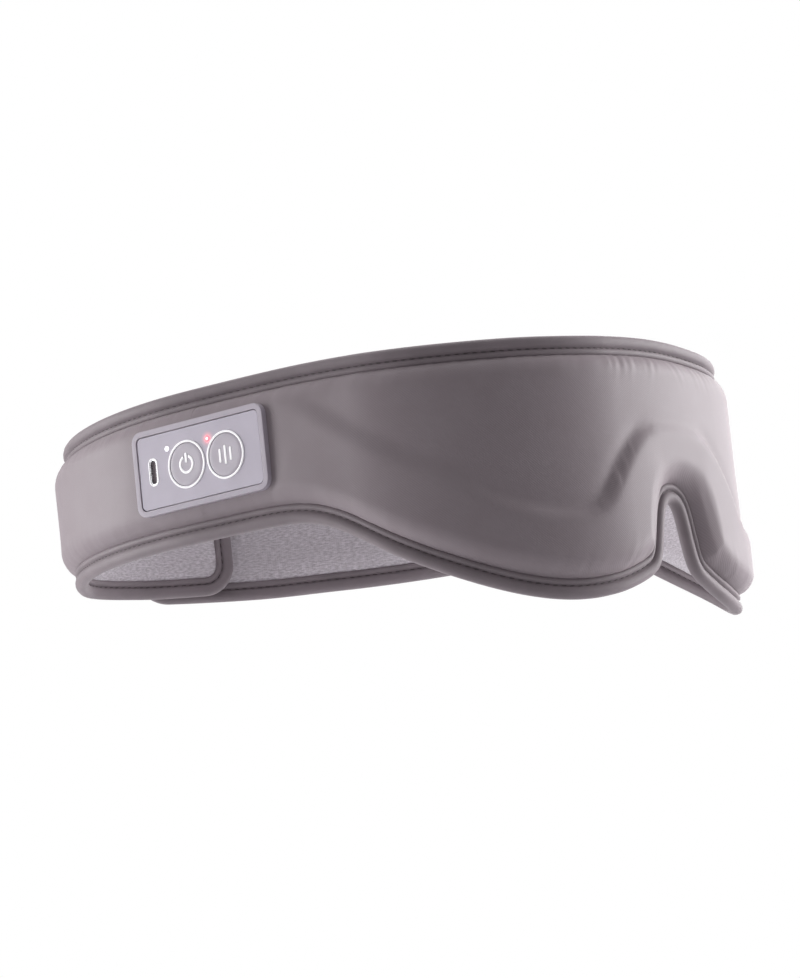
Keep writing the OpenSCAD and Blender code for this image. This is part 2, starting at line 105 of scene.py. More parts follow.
def planAt(s):
    # x, y and heading at a distance along one half, arrays in and out
    s = np.asarray(s, float)
    t = np.where(s > sHalf, 2 * sHalf - s, s)
    a1 = t / band["browRadius"]
    a2 = browTurn + (t - sBrow) / band["turnRadius"]
    a4 = (t - sRun) / band["strapRadius"]
    a5 = strapTurn + (t - sStrap) / backRadius
    parts = [t <= sBrow, t <= sTurn, t <= sRun, t <= sStrap]
    x = np.select(parts, [band["browRadius"] * np.sin(a1),
                          xBrow + band["turnRadius"] * (np.sin(a2) - math.sin(browTurn)),
                          halfWidth + 0 * t,
                          halfWidth - band["strapRadius"] * (1 - np.cos(a4))],
                  backRadius * np.cos(a5))
    y = np.select(parts, [band["browRadius"] * (1 - np.cos(a1)),
                          yBrow + band["turnRadius"] * (math.cos(browTurn) - np.cos(a2)),
                          yTurn + t - sTurn,
                          yRun + band["strapRadius"] * np.sin(a4)],
                  yStrap + backRadius * (np.sin(a5) - math.sin(strapTurn)))
    h = np.select(parts, [a1, a2, math.pi / 2 + 0 * t, math.pi / 2 + a4], math.pi / 2 + a5)
    past = s > sHalf
    return np.where(past, -x, x), y, np.where(past, 2 * math.pi - h, h)


def bandPoint(u, n, z):
    # u runs along the band, above 0 on the wearer's left; n is outward; result in metres
    u, n, z = np.broadcast_arrays(np.asarray(u, float), np.asarray(n, float), np.asarray(z, float))
    x, y, h = planAt(np.abs(u))
    k = np.where(u < 0, -1.0, 1.0)
    return np.stack([k * (x + n * np.sin(h)) + band["shiftX"],
                     frontY + y - n * np.cos(h), z], -1) * mm


def blur(values, step, width):
    r = int(4 * width / step)
    w = np.exp(-0.5 * (np.arange(-r, r + 1) * step / width) ** 2)
    w /= w.sum()
    return np.convolve(np.concatenate([values[r:0:-1], values, np.full(r, values[-1])]), w, "valid")


railS = np.arange(0, 430.01, 0.25)
rawLow = np.interp(railS, *zip(*lowerKnots))
nearNose = smooth((38 - railS) / 14)
railLow = blur(rawLow, 0.25, 1.1) * nearNose + blur(rawLow, 0.25, 7.0) * (1 - nearNose)
railTop = band["topHeight"] - blur(np.interp(railS, *zip(*dipKnots)), 0.25, 7.0)
railSlope = np.gradient(railLow, railS)
wideSlope = np.gradient(blur(railLow, 0.25, 7.0), railS)


def lowEdge(s):
    return np.interp(np.abs(s), railS, railLow)


def topEdge(s):
    return np.interp(np.abs(s), railS, railTop)


def lowNormal(s, wide=False):
    m = np.interp(np.abs(s), railS, wideSlope if wide else railSlope)
    q = np.sqrt(1 + m * m)
    return -m / q, 1 / q


def strapOutline(side, inset=0.0):
    # the strap's edge from the split along the bottom, round the end and back along the top:
    # distance, height and inward normal, moved inward by the inset
    e = endAt[side]
    c = e - band["tabCorner"]
    r = band["tabCorner"]
    run = np.arange(band["splitAt"], c, 1.6)
    turn = np.radians(np.linspace(0, 90, 13))
    mid = np.linspace(0, 1, 14)[1:-1]
    low, high = lowEdge(run), topEdge(run)
    zl, zh = lowEdge(e) + r, topEdge(e) - r
    s = np.concatenate([run, c + r * np.sin(turn), np.full(len(mid), e), c + r * np.sin(turn[::-1]),
                        run[::-1]])
    z = np.concatenate([low, lowEdge(c) + r * (1 - np.cos(turn)), zl + (zh - zl) * mid,
                        topEdge(c) - r * (1 - np.cos(turn[::-1])), high[::-1]])
    ns = np.concatenate([0 * run, -np.sin(turn), -np.ones(len(mid)), -np.sin(turn[::-1]), 0 * run])
    nz = np.concatenate([0 * run + 1, np.cos(turn), 0 * mid, -np.cos(turn[::-1]), 0 * run - 1])
    return s + ns * inset, z + nz * inset, ns, nz


# how the padding stands: levels outward from the seam line
padding = dict(brow=5.4, strap=6.4, frontDepth=8.2, strapDepth=4.0, skin=0.8, tuck=6.8,
               edgeOut=0.95, edgeIn=0.95, shoulder=7.0, crestWidths=(6.0, 4.6, 5.0, 6.0, 8.0), hollow=4.5,
               eyeAt=37.0, eyeHeight=58.0, boxDip=0.5)
crestKnots = [(0, 60), (12, 59.2), (18, 57.3), (24, 53), (31, 45), (36, 36.5), (40, 31),
              (46, 28.6), (55, 28.6), (63, 30.2), (75, 34.6), (89, 45.6), (101, 52), (113, 60),
              (127, 70), (140, 78.6), (160, 86), (200, 90)]
crestLevels = [(0, 1.5), (14, 1.7), (24, 2.3), (36, 2.4), (68, 2.2), (86, 1.7), (101, 1.6), (127, 1.5),
               (142, 0.9),
               (165, 0), (200, 0)]
crestS = np.arange(0, 200, 0.5)
crestZ = blur(np.interp(crestS, *zip(*crestKnots)), 0.5, 2.5)
crestLevel = blur(np.interp(crestS, *zip(*crestLevels)), 0.5, 4.0)


def nearest(s, z, lineS, lineZ):
    # distance to a line of points and the index of the closest one
    p = np.stack([s.ravel(), z.ravel()], 1)
    q = np.stack([lineS, lineZ], 1)
    d = np.empty(len(p))
    k = np.empty(len(p), int)
    for i in range(0, len(p), 2000):
        v = ((p[i:i + 2000, None] - q[None]) ** 2).sum(2)
        k[i:i + 2000] = v.argmin(1)
        d[i:i + 2000] = np.sqrt(v.min(1))
    return d.reshape(s.shape), k.reshape(s.shape)


def edgeDistance(side, s, z):
    # side 0 is the front, which has no end
    t = np.arange(-30, 430, 0.7)
    if side == 0:
        lineS, lineZ = np.concatenate([t, t]), np.concatenate([lowEdge(t), topEdge(t)])
    else:
        t = np.arange(150, band["splitAt"], 0.7)
        a, b, _, _ = strapOutline(side)
        lineS = np.concatenate([t, a, t])
        lineZ = np.concatenate([lowEdge(t), b, topEdge(t)])
    return nearest(s, z, lineS, lineZ)[0]


def lapShift(side, s):
    # the right tab passes inside, the left end outside
    if side < 0:
        return -5.1 * smooth((s - 318) / 34), smooth((s - 318) / 34)
    if side > 0:
        return 4.1 * smooth((s - 252) / 32), smooth((s - 252) / 32)
    return 0 * s, 0 * s


def shoulderShape(t, power=1.75):
    t = np.clip(t, 0, 1)
    return (1 - (1 - t) ** power) ** (1 / power)


def coverLevel(side, s, z):
    # how far the outer cover stands out at a place on the band
    a = np.abs(s)
    d = edgeDistance(side, a, z)
    shift, lap = lapShift(side, a)
    puff = padding["brow"] + (padding["strap"] - padding["brow"]) * smooth((a - 118) / 50)
    if side == 0:
        gapTo, k = nearest(a, z, crestS, crestZ)
        signed = np.where(z < crestZ[np.clip((a / 0.5).astype(int), 0, len(crestZ) - 1)], gapTo, -gapTo)
        rise = smooth(signed / np.interp(a, [0, 36, 48, 75, 120], padding["crestWidths"]) + 0.5)
        puff = puff + rise * crestLevel[k]
        puff = puff - np.exp(-((signed + 3.0) / 2.2) ** 2) * np.interp(a, [14, 22, 34, 42, 60, 90],
                                                                       [0, 0.4, 0.45, 0.3, 0.2, 0])
    underBox = smooth((38 - np.abs(a - 184)) / 12) * smooth((24 - np.abs(z - 67.3)) / 8)
    puff = puff - padding["boxDip"] * underBox
    wide = padding["shoulder"] + 2.5 * smooth((30 - a) / 14) * smooth((60 - z) / 20)
    rise = shoulderShape((d - padding["tuck"]) / wide)
    puff = puff * (1 - lap) + 3.3 * lap
    return shift + padding["edgeOut"] + (puff - padding["edgeOut"]) * rise


def liningLevel(side, s, z):
    a = np.abs(s)
    d = edgeDistance(side, a, z)
    shift, lap = lapShift(side, a)
    depth = padding["frontDepth"] + (padding["strapDepth"] - padding["frontDepth"]) * smooth((a - 198) / 36)
    r = np.sqrt(((a - padding["eyeAt"]) / 30) ** 2 + ((z - padding["eyeHeight"]) / 22) ** 2)
    depth = depth - padding["hollow"] * smooth((1 - r) / 0.45)
    depth = depth * (1 - lap) + (3.3 if side < 0 else 2.5) * lap
    rise = shoulderShape((d - padding["tuck"]) / 7.5)
    return shift - (padding["edgeIn"] + (depth - padding["edgeIn"]) * rise)


def panelGrid(side, reach, rows, step=1.6, inset=6.5):
    # places (distance, height) of a panel between the bindings
    v = np.linspace(0, 1, rows)
    v = v - 0.035 * np.sin(2 * np.pi * v)
    if side == 0:
        half = np.concatenate([np.arange(0, 30, 0.9), np.arange(30, reach, step), [reach]])
        s = np.concatenate([-half[:0:-1], half])
        k = np.where(s < 0, -1.0, 1.0)
        n0, n1 = lowNormal(s)
        w0, w1 = lowNormal(s, True)
        p0 = np.stack([np.abs(s) + n0 * inset, lowEdge(s) + n1 * inset], 1)
        p1 = np.stack([np.abs(s), topEdge(s) - inset], 1)
        tall = (p1 - p0)[:, 1]
        t0 = np.stack([w0, w1], 1) * tall[:, None] * 0.85
        t1 = np.stack([0 * s, 0 * s + 1], 1) * tall[:, None] * 0.85
        t = v[None, :, None]
        g = ((2 * t ** 3 - 3 * t ** 2 + 1) * p0[:, None] + (t ** 3 - 2 * t ** 2 + t) * t0[:, None]
             + (-2 * t ** 3 + 3 * t ** 2) * p1[:, None] + (t ** 3 - t ** 2) * t1[:, None])
        return g[..., 0] * k[:, None], g[..., 1]
    e = endAt[side]
    c = e - band["tabCorner"]
    r = band["tabCorner"] - inset
    s = np.concatenate([np.arange(band["splitAt"], c, step),
                        c + r * np.sin(np.radians(np.linspace(0, 90, 12)))])
    lift = np.where(s > c, band["tabCorner"] - np.sqrt(np.clip(r * r - (s - c) ** 2, 0, None)), inset)
    low, high = lowEdge(s) + lift, topEdge(s) - lift
    return s[:, None] + 0 * v[None], low[:, None] + (high - low)[:, None] * v[None]


def meshFrom(name, points, faces, uvs=None, body=None):
    mesh = bpy.data.meshes.new(name)
    mesh.from_pydata(points.tolist(), [], faces.tolist() if hasattr(faces, "tolist") else faces)
    if uvs is not None:
        layer = mesh.uv_layers.new(name="cloth")
        loops = np.empty(len(mesh.loops), int)
        mesh.loops.foreach_get("vertex_index", loops)
        layer.data.foreach_set("uv", uvs[loops].astype(np.float32).ravel())
    mesh.polygons.foreach_set("use_smooth", [True] * len(mesh.polygons))
    mesh.validate()
    work = bmesh.new()
    work.from_mesh(mesh)
    if work.calc_volume(signed=True) < 0:
        bmesh.ops.reverse_faces(work, faces=work.faces)
    work.to_mesh(mesh)
    work.free()
    piece = bpy.data.objects.new(name, mesh)
    bpy.context.scene.collection.objects.link(piece)
    return piece


def shell(name, outer, inner, uv):
    # closed solid between two grids of points
    a, b = outer.shape[:2]
    t = a * b
    ids = np.arange(t).reshape(a, b)
    quad = np.stack([ids[:-1, :-1], ids[:-1, 1:], ids[1:, 1:], ids[1:, :-1]], -1).reshape(-1, 4)
    back = quad[:, ::-1] + t
    rim = []
    for line in (ids[:, 0], ids[::-1, -1], ids[0, ::-1], ids[-1, :]):
        rim.append(np.stack([line[:-1], line[1:], line[1:] + t, line[:-1] + t], 1))
    faces = np.concatenate([quad, back] + rim)
    points = np.concatenate([outer.reshape(-1, 3), inner.reshape(-1, 3)])
    return meshFrom(name, points, faces, np.concatenate([uv.reshape(-1, 2)] * 2))


def sweep(name, u, z, nu, nz, shift, profile, side=0):
    # a closed profile of (outward, inward from the edge) carried along the edge
    n, e = profile[:, 0], profile[:, 1]
    points = bandPoint(u[:, None] + nu[:, None] * e[None], shift[:, None] + n[None],
                       z[:, None] + nz[:, None] * e[None])
    a, b = points.shape[:2]
    ids = np.arange(a * b).reshape(a, b)
    nxt = np.roll(ids, -1, 1)
    quads = np.stack([ids[:-1], nxt[:-1], nxt[1:], ids[1:]], -1).reshape(-1, 4).tolist()
    faces = quads + [ids[0, ::-1].tolist(), ids[-1].tolist()]
    mid = points.mean(1)
    along = np.concatenate([[0], np.cumsum(np.linalg.norm(np.diff(mid, axis=0), axis=1))]) * 10
    around = np.concatenate([[0], np.cumsum(np.linalg.norm(np.diff(profile, axis=0), axis=1))]) * uvScale
    uv = np.stack(np.broadcast_arrays(along[:, None], around[None]), -1)
    return meshFrom(name, points.reshape(-1, 3), faces, uv.reshape(-1, 2))


# small puckers that the seam pulls into the cloth, fading away from it
pucker = dict(depth=0.16, reach=6.0, sway=0.14)


def puckers(s, z, d):
    run = s + 0.35 * z
    a = np.sin(run * 0.93 + 1.7 * np.sin(run * 0.11)) * np.sin(run * 0.37 + 0.6)
    a = a + 0.5 * np.sin(run * 1.71 + 2)
    sway = np.sin(s * 0.083 + 1.3) * np.sin(z * 0.11 + 0.4 + s * 0.021)
    fold = pucker["depth"] * a * np.exp(-((d - 7) / pucker["reach"]) ** 2)
    return fold + pucker["sway"] * sway * smooth((d - 8) / 10)


def finishCloth(piece):
    piece.data.set_sharp_from_angle(angle=math.radians(62))
    return piece


def clothPanel(name, side, level, outward, rows=46, reach=None):
    s, z = panelGrid(side, reach or band["splitAt"], rows)
    a = np.abs(s)
    d = edgeDistance(side, a, z)
    n = level(side, s, z) + outward * puckers(a + (0 if side >= 0 else 40), z, d)
    u = -s if side < 0 else s
    face = bandPoint(u, n, z)
    back = bandPoint(u, n - outward * padding["skin"], z)
    return shell(name, face, back, np.stack([u, z], -1) * uvScale)


print("cloth: covers and linings")
frontCover = clothPanel("frontCover", 0, coverLevel, 1)
rightCover = clothPanel("rightCover", -1, coverLevel, 1)
leftCover = clothPanel("leftCover", 1, coverLevel, 1)
frontLining = clothPanel("frontLining", 0, liningLevel, -1)
rightLining = clothPanel("rightLining", -1, liningLevel, -1)
leftLining = clothPanel("leftLining", 1, liningLevel, -1)


# the foam between cover and lining, with a little slack to each
foam = dict(inset=7.4, strapSlack=1.15, strapLeast=0.6, coverSlack=1.3, liningSlack=1.5, frontLeast=0.8,
            split=0.4)


def strapPad(name, side):
    s, z = panelGrid(side, 0, 30, step=3.0, inset=foam["inset"])
    keep = s[:, 0] >= band["hingeAt"] + foam["split"]
    s, z = s[keep], z[keep]
    u = -s if side < 0 else s
    out = coverLevel(side, s, z) - foam["strapSlack"]
    inner = liningLevel(side, s, z) + foam["strapSlack"]
    return shell(name, bandPoint(u, np.maximum(out, inner + foam["strapLeast"]), z), bandPoint(u, inner, z),
                 np.stack([u, z], -1) * uvScale)


pockets = dict(motors=("motor_right_outer", "motor_right_inner", "motor_left_inner", "motor_left_outer"),
               radius=5.3)


def frontPadShell():
    s, z = panelGrid(0, band["hingeAt"] - foam["split"], 34, step=2.6, inset=foam["inset"])
    out = coverLevel(0, s, z) - foam["coverSlack"]
    inner = liningLevel(0, s, z) + foam["liningSlack"]
    return shell("frontPad", bandPoint(s, np.maximum(out, inner + foam["frontLeast"]), z),
                 bandPoint(s, inner, z), np.stack([s, z], -1) * uvScale)


frontPad = frontPadShell()
films = dict(start=14.0, end=58.0, gap=0.1, thick=0.2)


def filmPatch(name, side, node):
    # a thin heater laid on the back of the lining over one eye
    low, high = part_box(node)
    s = np.linspace(films["start"], films["end"], 30)[:, None]
    t = np.linspace(0, 1, 30)[None]
    z0 = np.maximum(low[2] / mm, lowEdge(s) + 10)
    z = z0 + (high[2] / mm - z0) * t
    s = s + 0 * z
    n = liningLevel(0, s, z) + padding["skin"] + films["gap"]
    return shell(name, bandPoint(s * side, n + films["thick"], z), bandPoint(s * side, n, z),
                 np.stack([s * side, z], -1) * uvScale)


rightFilm = filmPatch("rightHeatingFilm", -1, "heating_film_right")
leftFilm = filmPatch("leftHeatingFilm", 1, "heating_film_left")
rightPad = strapPad("rightPad", -1)
leftPad = strapPad("leftPad", 1)

# the bound edge in section: a roll, a stitched groove and a flat welt, on both faces
edging = dict(groove=4.45, stitch=1.9, pitch=3.0, thread=0.46)
halfEdge = [(1.2, 7.0), (1.65, 6.75), (1.95, 6.35), (2.12, 5.8), (2.0, 5.25), (1.6, 4.85), (1.12, 4.62),
            (1.0, 4.45), (1.15, 4.25), (1.65, 3.95), (2.1, 3.4), (2.36, 2.6), (2.36, 1.8), (2.1, 1.05),
            (1.6, 0.48), (0.9, 0.12), (0.3, 0.0)]
edgeSection = np.array(halfEdge + [(-n, e) for n, e in halfEdge[::-1]] + [(-0.4, 6.8), (0.4, 6.8)])


def frontPath(top):
    half = np.concatenate([np.arange(0, 12, 0.3), np.arange(12, 30, 0.8), np.arange(30, band["splitAt"], 1.6),
                           [band["splitAt"]]])
    s = np.concatenate([-half[:0:-1], half])
    k = np.where(s < 0, -1.0, 1.0)
    if top:
        return s, topEdge(s), 0 * s, 0 * s - 1, 0 * s
    n0, n1 = lowNormal(s)
    return s, lowEdge(s), n0 * k, n1, 0 * s


def strapPath(side):
    s, z, ns, nz = strapOutline(side)
    return s * side, z, ns * side, nz, lapShift(side, s)[0]


print("cloth: bound edges and their stitching")
topBinding = sweep("frontTopBinding", *frontPath(True), edgeSection)
lowBinding = sweep("frontBottomBinding", *frontPath(False), edgeSection)
rightBinding = sweep("rightStrapBinding", *strapPath(-1), edgeSection)
leftBinding = sweep("leftStrapBinding", *strapPath(1), edgeSection)


def stitchRow(name, paths):
    points, faces = [], []
    for u, z, nu, nz, shift in paths:
        g = edging["groove"]
        mid = bandPoint(u + nu * g, shift, z + nz * g)
        run = np.concatenate([[0], np.cumsum(np.linalg.norm(np.diff(mid, axis=0), axis=1))]) / mm
        centres = np.arange(edging["pitch"], run[-1] - edging["pitch"] * 0.5, edging["pitch"])
        for face in (1, -1):
            for i, c in enumerate(centres):
                c = c + (0.5 * edging["pitch"] if face < 0 else 0)
                t = c + np.array([-1, -0.45, 0.45, 1]) * edging["stitch"] / 2
                half = np.array([0.35, 1, 1, 0.35]) * edging["thread"] / 2
                rise = np.array([0.02, 0.2, 0.2, 0.02])
                lean = np.array([-1, -0.45, 0.45, 1]) * 0.12
                at = [np.interp(t, run, q) for q in (u, z, nu, nz, shift)]
                ring = []
                for e, n in ((-half, 0.9), (half, 0.9), (half * 0.6, 1.06), (-half * 0.6, 1.06)):
                    ring.append(bandPoint(at[0] + at[2] * (g + e + lean), at[4] + face * (n + rise * (n > 1)),
                                          at[1] + at[3] * (g + e + lean)))
                base = len(points) * 16
                points.append(np.stack(ring, 1).reshape(-1, 3))
                for j in range(3):
                    for q in range(4):
                        a = base + j * 4 + q
                        b = base + j * 4 + (q + 1) % 4
                        faces.append([a, b, b + 4, a + 4] if face > 0 else [a, a + 4, b + 4, b])
                faces.append([base + q for q in ((3, 2, 1, 0) if face > 0 else (0, 1, 2, 3))])
                faces.append([base + 12 + q for q in ((0, 1, 2, 3) if face > 0 else (3, 2, 1, 0))])
    piece = meshFrom(name, np.concatenate(points), faces)
    selectOnly(piece)
    bpy.ops.object.mode_set(mode="EDIT")
    bpy.ops.mesh.select_all(action="SELECT")
    bpy.ops.mesh.normals_make_consistent(inside=False)
    bpy.ops.object.mode_set(mode="OBJECT")
    return piece


frontStitches = stitchRow("frontStitches", [frontPath(True), frontPath(False)])
rightStitches = stitchRow("rightStitches", [strapPath(-1)])
leftStitches = stitchRow("leftStitches", [strapPath(1)])

# hook and loop patches sewn on the strap ends
tapes = dict(hook=(-1, 31, 10, 58, 78, -1.95, -0.6), loop=(1, 31, 10, 57, 79, 0.3, 1.75))


def tapePatch(name, side, back, front, z0, z1, n0, n1):
    e = endAt[side]
    t = np.concatenate([[0, 0.01, 0.03, 0.07], np.linspace(0.12, 0.88, 17), [0.93, 0.97, 0.99, 1]])
    s = (e - back + (back - front) * t)[:, None] + 0 * t[None]
    z = (z0 + (z1 - z0) * t)[None, :] + 0 * t[:, None]
    low = np.minimum(np.minimum(s - (e - back), (e - front) - s), np.minimum(z - z0, z1 - z))
    plump = 0.45 + 0.55 * shoulderShape(low / 1.1)
    seam = 0.22 * np.exp(-((low - 2.0) / 0.45) ** 2)
    size = (n1 - n0) * plump - seam
    u = s * side
    outer = n0 + size if side < 0 else 0 * s + n1
    inner = 0 * s + n0 if side < 0 else n1 - size
    return shell(name, bandPoint(u, outer, z), bandPoint(u, inner, z), np.stack([u, z], -1) * uvScale)


hookTape = tapePatch("hookTape", *tapes["hook"])
loopTape = tapePatch("loopTape", *tapes["loop"])

# the control box: its own square frame, x to the front, y up, z outward
box = dict(at=184.8, length=60.2, height=30.2, corner=4.0, centre=67.3, rim=8.4, face=8.1, plate=6.6,
           ledge=6.1, frame=2.1, lip=3.4, roll=0.55)
fitBack, fitFront = bandPoint([-(box["at"] + box["length"] / 2), -(box["at"] - box["length"] / 2)], 0, 0)
boxX = Vector(fitFront - fitBack).normalized()
boxY = Vector((0, 0, 1))
boxZ = boxX.cross(boxY)
boxMid = Vector((fitBack + fitFront) / 2) + boxY * box["centre"] * mm
boxFrame = Matrix.Translation(boxMid) @ Matrix((boxX, boxY, boxZ)).transposed().to_4x4()


def named(name):
    piece = bpy.context.object
    piece.name = name
    piece.data.name = name
    return piece


def pick(test, kind="FACE"):
    # selects the faces or edges of the mesh in edit mode that pass a test, in mm
    bpy.ops.mesh.select_mode(type=kind)
    bpy.ops.mesh.select_all(action="DESELECT")
    work = bmesh.from_edit_mesh(bpy.context.object.data)
    for item in (work.faces if kind == "FACE" else work.edges):
        c = item.calc_center_median() if kind == "FACE" else (item.verts[0].co + item.verts[1].co) / 2
        item.select_set(bool(test(item, c / mm)))
    bmesh.update_edit_mesh(bpy.context.object.data)


def push(x, y, z):
    bpy.ops.mesh.extrude_region_move(TRANSFORM_OT_translate={"value": (x * mm, y * mm, z * mm)})


def slabPiece(name, w, h, r, z0, z1, x=0, y=0, steps=8):
    # a block with round corners, left in edit mode
    deselect()
    bpy.ops.mesh.primitive_plane_add(size=mm, location=(x * mm, y * mm, z0 * mm))
    piece = named(name)
    piece.scale = (w, h, 1)
    bpy.ops.object.transform_apply(location=True, rotation=True, scale=True)
    bpy.ops.object.mode_set(mode="EDIT")
    bpy.ops.mesh.select_all(action="SELECT")
    bpy.ops.mesh.bevel(offset=r * mm, segments=steps, affect="VERTICES", profile=0.5)
    bpy.ops.mesh.select_all(action="SELECT")
    push(0, 0, z1 - z0)
    bpy.ops.mesh.select_all(action="SELECT")
    bpy.ops.mesh.normals_make_consistent(inside=False)
    return piece


def discPiece(name, x, y, r, z0, z1, steps=64):
    # a round block, left in edit mode
    deselect()
    bpy.ops.mesh.primitive_circle_add(vertices=steps, radius=r * mm, fill_type="NGON",
                                      location=(x * mm, y * mm, z0 * mm))
    piece = named(name)
    bpy.ops.object.transform_apply(location=True, rotation=True, scale=True)
    bpy.ops.object.mode_set(mode="EDIT")
    bpy.ops.mesh.select_all(action="SELECT")
    push(0, 0, z1 - z0)
    bpy.ops.mesh.select_all(action="SELECT")
    bpy.ops.mesh.normals_make_consistent(inside=False)
    return piece


def applyAll(piece):
    selectOnly(piece)
    for modifier in list(piece.modifiers):
        bpy.ops.object.modifier_apply(modifier=modifier.name)


def roundOff(piece, width, segments=3, angle=40):
    bevel = piece.modifiers.new("roundOff", "BEVEL")
    bevel.width = width * mm
    bevel.segments = segments
    bevel.limit_method = "ANGLE"
    bevel.angle_limit = math.radians(angle)
    applyAll(piece)
    bpy.ops.object.shade_smooth_by_angle(angle=math.radians(35))
    flat = piece.modifiers.new("keepFlat", "WEIGHTED_NORMAL")
    flat.keep_sharp = True
    flat.weight = 80
    applyAll(piece)


def cutAway(piece, cutter):
    toObjectMode()
    cut = piece.modifiers.new("cut", "BOOLEAN")
    cut.operation = "DIFFERENCE"
    cut.solver = "EXACT"
    cut.object = cutter
    applyAll(piece)
    bpy.data.objects.remove(cutter)


def ontoBox(piece):
    toObjectMode()
    piece.data.transform(boxFrame)
    return piece


print("control box: frame, plate and buttons")
boxFrameRim = slabPiece("controlFrame", box["length"], box["height"], box["corner"], box["ledge"], box["rim"])
pick(lambda f, c: f.normal.z > 0.9)
bpy.ops.mesh.inset(thickness=box["frame"] * mm)
push(0, 0, box["plate"] - box["rim"] - 0.03)
bpy.ops.mesh.inset(thickness=(box["lip"] - box["frame"]) * mm)
bpy.ops.mesh.delete(type="FACE")
pick(lambda f, c: f.normal.z < -0.9 and c.z < box["ledge"] + 0.1)
bpy.ops.mesh.inset(thickness=box["lip"] * mm)
bpy.ops.mesh.delete(type="FACE")
pick(lambda e, c: e.is_boundary, "EDGE")
bpy.ops.mesh.bridge_edge_loops()
bpy.ops.object.mode_set(mode="OBJECT")
roundOff(boxFrameRim, box["roll"], 4)
ontoBox(boxFrameRim)

keys = dict(power=(-5.9, 0.0), mode=(12.0, 0.0), radius=7.55, ring=8.42, port=(-21.4, 0.0),
            charge=(-14.3, 7.0), lamp=(4.5, 7.0), hole=7.65, lensHole=0.95, cut=(6, 9),
            flange=8.2, flangeTop=6.56, mark=8.2)
facePlate = slabPiece("facePlate", box["length"] - 4.7, box["height"] - 4.7, 1.8, box["plate"], box["face"])
for x, y in (keys["power"], keys["mode"]):
    cutAway(facePlate, discPiece("cutter", x, y, keys["hole"], *keys["cut"], 96))
for x, y in (keys["charge"], keys["lamp"]):
    cutAway(facePlate, discPiece("cutter", x, y, keys["lensHole"], *keys["cut"], 32))
cutAway(facePlate, slabPiece("cutter", 3.36, 9.04, 1.6, *keys["cut"], *keys["port"]))
roundOff(facePlate, 0.14, 2, 50)
ontoBox(facePlate)


def hollowOut(piece, wall, width):
    # turns a block in edit mode into a ring with a rounded rim
    pick(lambda f, c: abs(f.normal.z) > 0.9)
    bpy.ops.mesh.inset(thickness=wall * mm)
    bpy.ops.mesh.delete(type="FACE")
    pick(lambda e, c: e.is_boundary, "EDGE")
    bpy.ops.mesh.bridge_edge_loops()
    bpy.ops.object.mode_set(mode="OBJECT")
    roundOff(piece, width, 3, 50)
    return ontoBox(piece)


def keyRing(name, x, y):
    piece = discPiece(name, x, y, keys["ring"], box["face"] - 0.02, box["face"] + 0.36, 96)
    return hollowOut(piece, keys["ring"] - 7.64, 0.13)


portRim = hollowOut(slabPiece("portRim", 4.2, 9.9, 2.0, box["face"] - 0.02, box["face"] + 0.1,
                              *keys["port"]), 0.5, 0.04)


def keyCap(name, x, y):
    # a flange under the plate, a straight wall and a softly dished top
    piece = discPiece(name, x, y, keys["flange"], 5.4, keys["flangeTop"], 96)
    pick(lambda f, c: f.normal.z > 0.9)
    bpy.ops.mesh.inset(thickness=(keys["flange"] - keys["radius"]) * mm)
    push(0, 0, box["face"] - 0.1 - keys["flangeTop"])
    for grow, lift in ((0.12, 0.14), (0.22, 0.1), (0.5, 0.06), (1.2, -0.02), (2.2, -0.05)):
        bpy.ops.mesh.inset(thickness=grow * mm)
        bpy.ops.transform.translate(value=(0, 0, lift * mm))
    bpy.ops.object.mode_set(mode="OBJECT")
    bpy.ops.object.shade_smooth_by_angle(angle=math.radians(50))
    return ontoBox(piece)


powerRing, modeRing = keyRing("powerRing", *keys["power"]), keyRing("modeRing", *keys["mode"])
powerCap, modeCap = keyCap("powerCap", *keys["power"]), keyCap("modeCap", *keys["mode"])

def bar(name, x, y, w, h):
    piece = slabPiece(name, w, h, min(w, h) * 0.48, keys["mark"] - 0.1, keys["mark"] + 0.18, x, y, 5)
    bpy.ops.object.mode_set(mode="OBJECT")
    return piece


def joined(pieces, name):
    deselect()
    for piece in pieces:
        piece.select_set(True)
    bpy.context.view_layer.objects.active = pieces[0]
    bpy.ops.object.join()
    return named(name)


markX, markY = keys["power"]
arc = discPiece("arc", markX, markY, 3.3, keys["mark"] - 0.1, keys["mark"] + 0.18, 72)
pick(lambda f, c: abs(f.normal.z) > 0.9)
bpy.ops.mesh.inset(thickness=0.9 * mm)
bpy.ops.mesh.delete(type="FACE")
pick(lambda f, c: abs(c.x - markX) < 1.25 and c.y > markY)
bpy.ops.mesh.delete(type="FACE")
pick(lambda e, c: e.is_boundary and math.hypot(c.x - markX, c.y - markY) < 2.6, "EDGE")
bpy.ops.mesh.bridge_edge_loops()
bpy.ops.mesh.select_all(action="SELECT")
bpy.ops.mesh.fill_holes(sides=8)
bpy.ops.mesh.normals_make_consistent(inside=False)
bpy.ops.object.mode_set(mode="OBJECT")
powerMark = joined([arc, bar("stem", markX, markY + 2.3, 0.9, 3.5)], "powerMark")
roundOff(powerMark, 0.07, 2, 50)
ontoBox(powerMark)
markX, markY = keys["mode"]
modeMark = joined([bar("line", markX + x, markY, 0.9, tall) for x,
                   tall in ((-2.4, 4.8), (0, 6.6), (2.4, 4.8))],
                  "modeMark")
roundOff(modeMark, 0.07, 2, 50)
ontoBox(modeMark)


